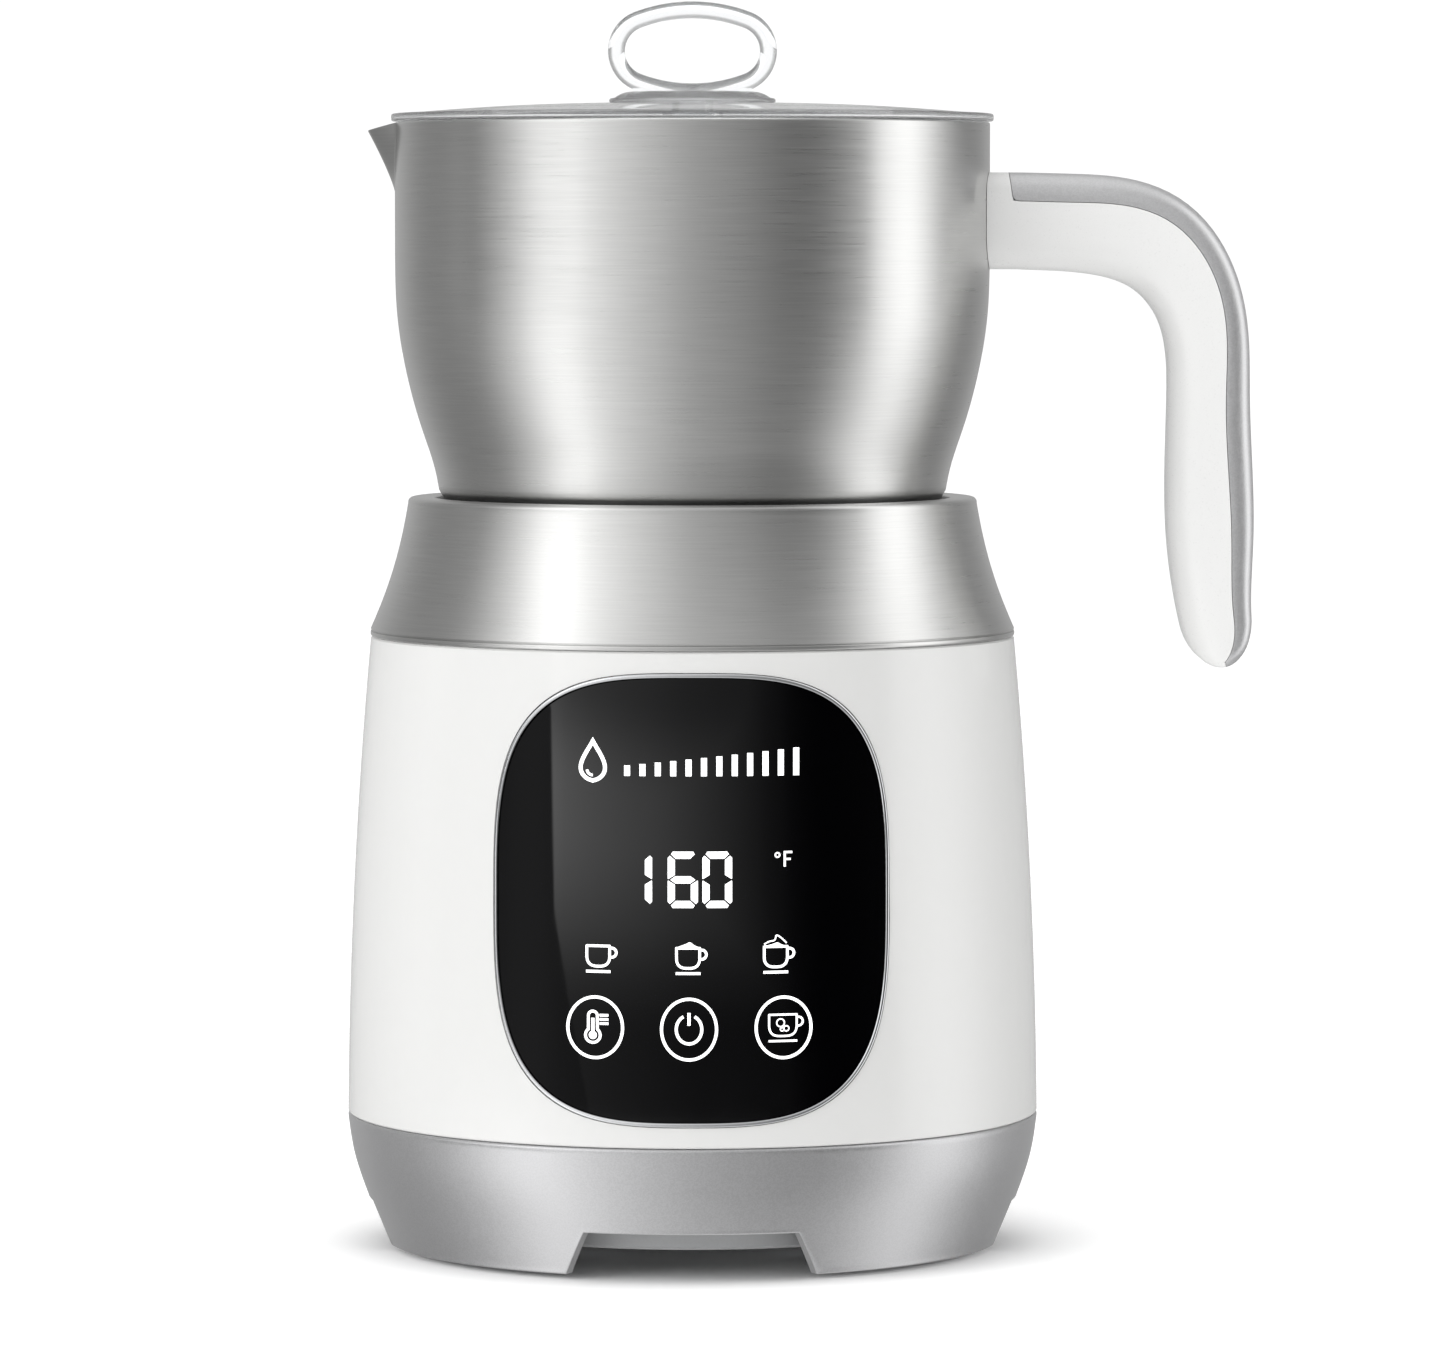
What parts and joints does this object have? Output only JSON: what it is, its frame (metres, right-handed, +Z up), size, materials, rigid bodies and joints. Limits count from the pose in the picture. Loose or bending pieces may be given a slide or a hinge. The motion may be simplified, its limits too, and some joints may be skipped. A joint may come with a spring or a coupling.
{
  "type": "milk frother",
  "caption": "Countertop milk frother: powered induction base with touch panel, lift-off steel jug with side handle, clear loop-knob lid and magnetic whisk.",
  "frame": {"origin": "on the axis of the round base, in the plane of the table it stands on", "axes": "+Z up along the base's axis, -Y towards the user and the touch panel, +X along the handle, -X along the spout, +Y out of the cord inlet"},
  "size_m": [0.181, 0.141, 0.2485],
  "materials": {
    "white_abs": "gloss moulded, white",
    "brushed_steel": "brushed round the axis",
    "silver_plastic": "satin silver paint",
    "grey_plastic": "fine moulded",
    "black_plastic": "fine moulded, heat-proof",
    "black_rubber": "moulded",
    "silicone": "moulded silicone",
    "screw_steel": "bright steel",
    "plated_steel": "zinc plated",
    "bright_trim": "bright plated",
    "black_glass": "back-printed glass",
    "clear_plastic": "clear moulded",
    "circuit_board": "solder mask",
    "display_block": "light chambers",
    "copper_wire": "enamelled stranded wire",
    "ferrite": "sintered",
    "aluminium": "extruded",
    "bronze": "sintered",
    "magnet": "nickel plated",
    "capacitor_sleeve": "shrink sleeve"
  },
  "bodies": {
    "base": {"base_shell": "white_abs", "base_collar": "brushed_steel", "base_skirt": "silver_plastic", "bottom_plate": "grey_plastic", "foot_pads": "black_rubber", "bottom_screws": "screw_steel", "cord_gland": "grey_plastic", "panel_bezel": "bright_trim", "panel_glass": "black_glass", "panel_carrier": "grey_plastic", "display_board": "circuit_board", "led_digit_module": "display_block", "touch_electrodes": "black_rubber", "seat_deck": "black_plastic", "deck_gasket": "silicone", "deck_screws": "screw_steel", "coil_former": "black_plastic", "former_screws": "screw_steel", "induction_coil": "copper_wire", "coil_leads": "copper_wire", "ferrite_bars": "ferrite", "sensor_guide": "black_plastic", "sensor_seal": "silicone", "sensor_spring": "screw_steel", "motor_can": "plated_steel", "motor_magnets": "ferrite", "motor_end_cap": "black_plastic", "motor_bushings": "bronze", "motor_bracket": "plated_steel", "motor_screws": "screw_steel", "bracket_screws": "screw_steel", "power_board": "circuit_board", "board_screws": "screw_steel", "heat_sink": "aluminium", "power_transistors": "black_plastic", "filter_capacitors": "capacitor_sleeve", "power_choke": "ferrite", "fan_frame": "black_plastic", "fan_screws": "screw_steel"},
    "sensor": {"sensor_cap": "aluminium"},
    "drive": {"drive_shaft": "screw_steel", "motor_armature": "plated_steel", "magnet_carrier": "black_plastic", "drive_magnets": "magnet"},
    "fan": {"fan_rotor": "black_plastic", "fan_axle": "screw_steel"},
    "jug": {"jug_pot": "brushed_steel", "jug_heating_disc": "plated_steel", "whisk_post": "screw_steel", "handle_bracket": "screw_steel", "handle_grip": "white_abs", "handle_spine": "silver_plastic", "handle_screws": "screw_steel"},
    "whisk": {"whisk_hub": "grey_plastic", "whisk_magnets": "magnet", "whisk_frame": "screw_steel", "whisk_coil": "screw_steel"},
    "lid": {"lid_disc": "clear_plastic", "lid_knob": "clear_plastic", "lid_gasket": "silicone"}
  },
  "joints": [
    {"name": "jug_lift", "type": "slide", "parent": "base", "child": "jug", "axis": [0, 0, 1], "range_m": [0, 0.06]},
    {"name": "lid_lift", "type": "slide", "parent": "jug", "child": "lid", "axis": [0, 0, 1], "range_m": [0, 0.04]},
    {"name": "drive_spin", "type": "hinge", "parent": "base", "child": "drive", "pos_m": [0, 0, 0.11], "axis": [0, 0, 1], "continuous": true},
    {"name": "whisk_spin", "type": "hinge", "parent": "jug", "child": "whisk", "pos_m": [0, 0, 0.155], "axis": [0, 0, 1], "continuous": true},
    {"name": "fan_spin", "type": "hinge", "parent": "base", "child": "fan", "pos_m": [0, 0, 0.013], "axis": [0, 0, 1], "continuous": true},
    {"name": "sensor_press", "type": "slide", "parent": "base", "child": "sensor", "axis": [0, 0, 1], "range_m": [-0.0015, 0], "stiffness_N_per_m": 250, "deforming": ["sensor_spring"]}
  ],
  "couplings": [
    {"joint": "whisk_spin", "follows": "drive_spin", "ratio": 1}
  ]
}
